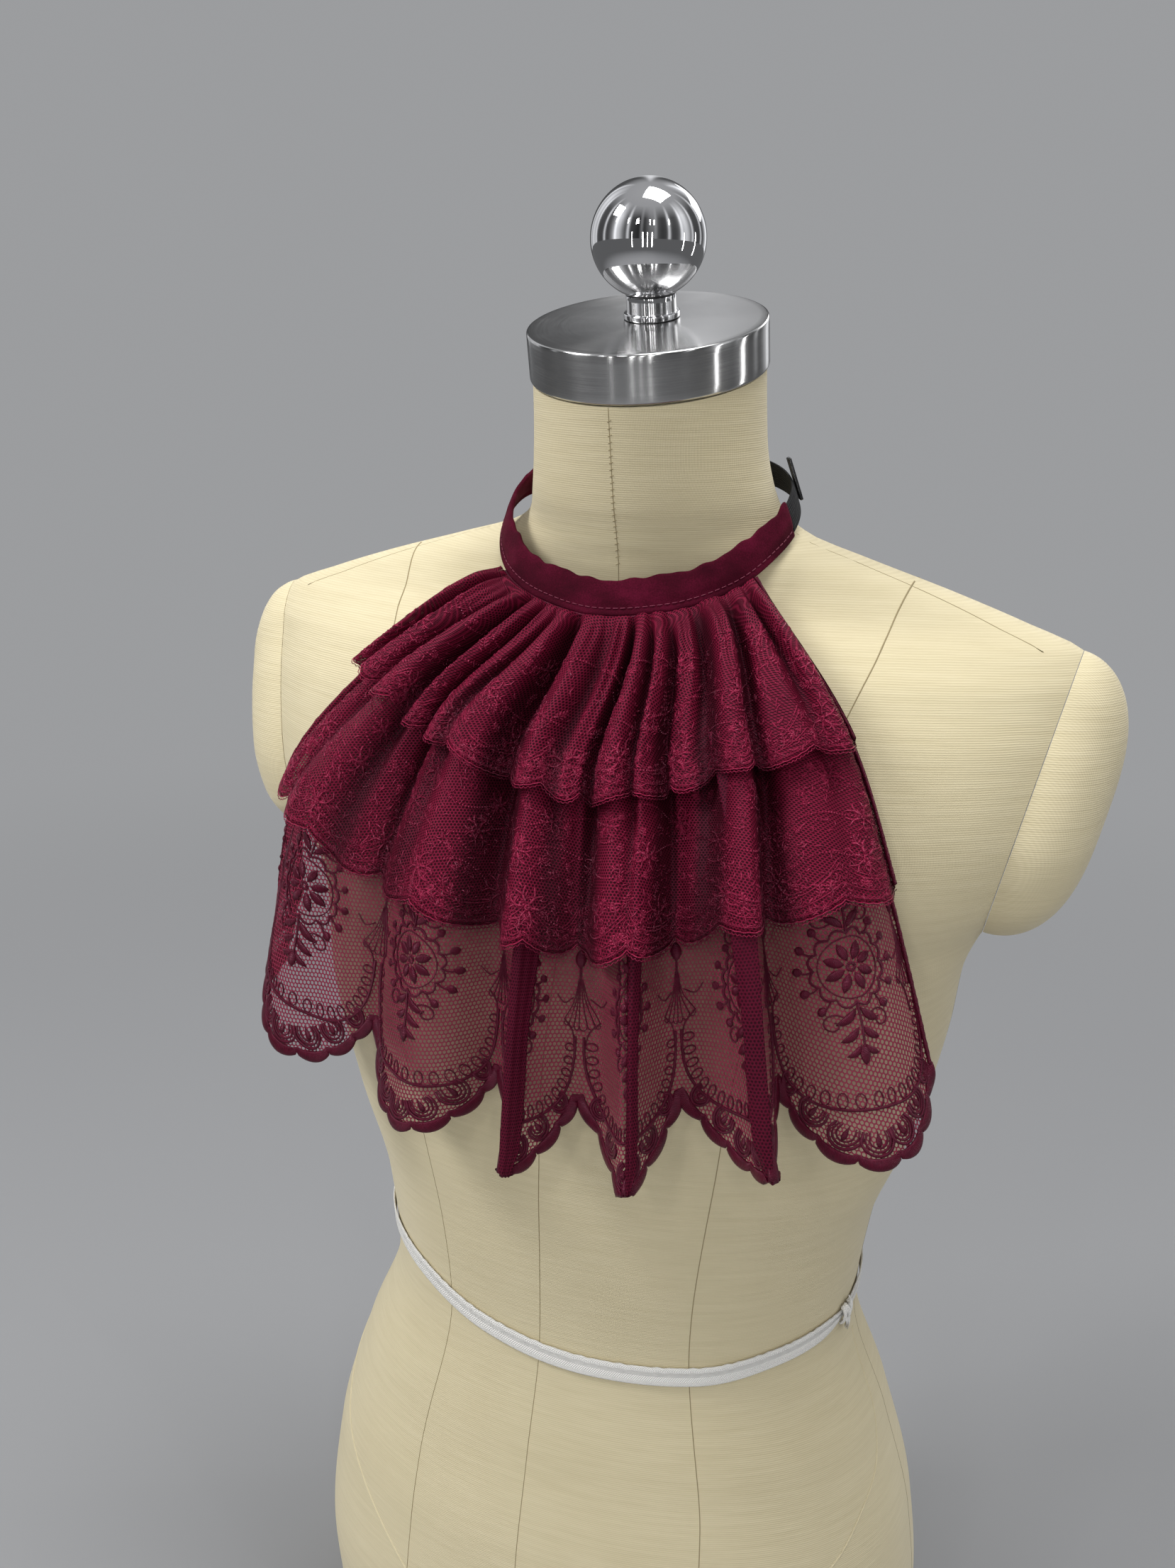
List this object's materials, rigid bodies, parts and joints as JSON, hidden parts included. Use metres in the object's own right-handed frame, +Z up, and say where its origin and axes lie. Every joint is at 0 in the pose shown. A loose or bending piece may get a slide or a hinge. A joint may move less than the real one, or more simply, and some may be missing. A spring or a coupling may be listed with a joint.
{
  "type": "lace bib collar on a dress form",
  "caption": "Gathered lace bib in layered tiers on a velvet neckband, fastened at the back of a limbless linen dress form with a steel neck cap.",
  "frame": {"origin": "middle of the dress form's flat base, on the surface that it stands on", "axes": "+Z up, the front of the bib faces -Y, +X to the form's own left"},
  "size_m": [0.4386, 0.2609, 0.7835],
  "materials": {
    "velvet": "burgundy velvet, matt with a soft sheen",
    "elastic": "black woven elastic",
    "slide": "black moulded plastic",
    "lace": "burgundy net with corded embroidery",
    "net": "sheer burgundy net with satin-stitched scallops",
    "linen": "cream woven linen over a firm body",
    "steel": "turned and brushed",
    "chrome": "polished",
    "tape": "white twill tape"
  },
  "bodies": {
    "root": {"neckband": "velvet", "back_strap": "elastic", "strap_slide": "slide", "tier_1_lace": "lace", "tier_2_lace": "lace", "tier_3_net": "net", "form_torso": "linen", "form_cap_left": "linen", "form_cap_right": "linen", "neck_cap": "steel", "ball_collar": "chrome", "neck_ball": "chrome", "waist_tape": "tape"}
  },
  "joints": []
}
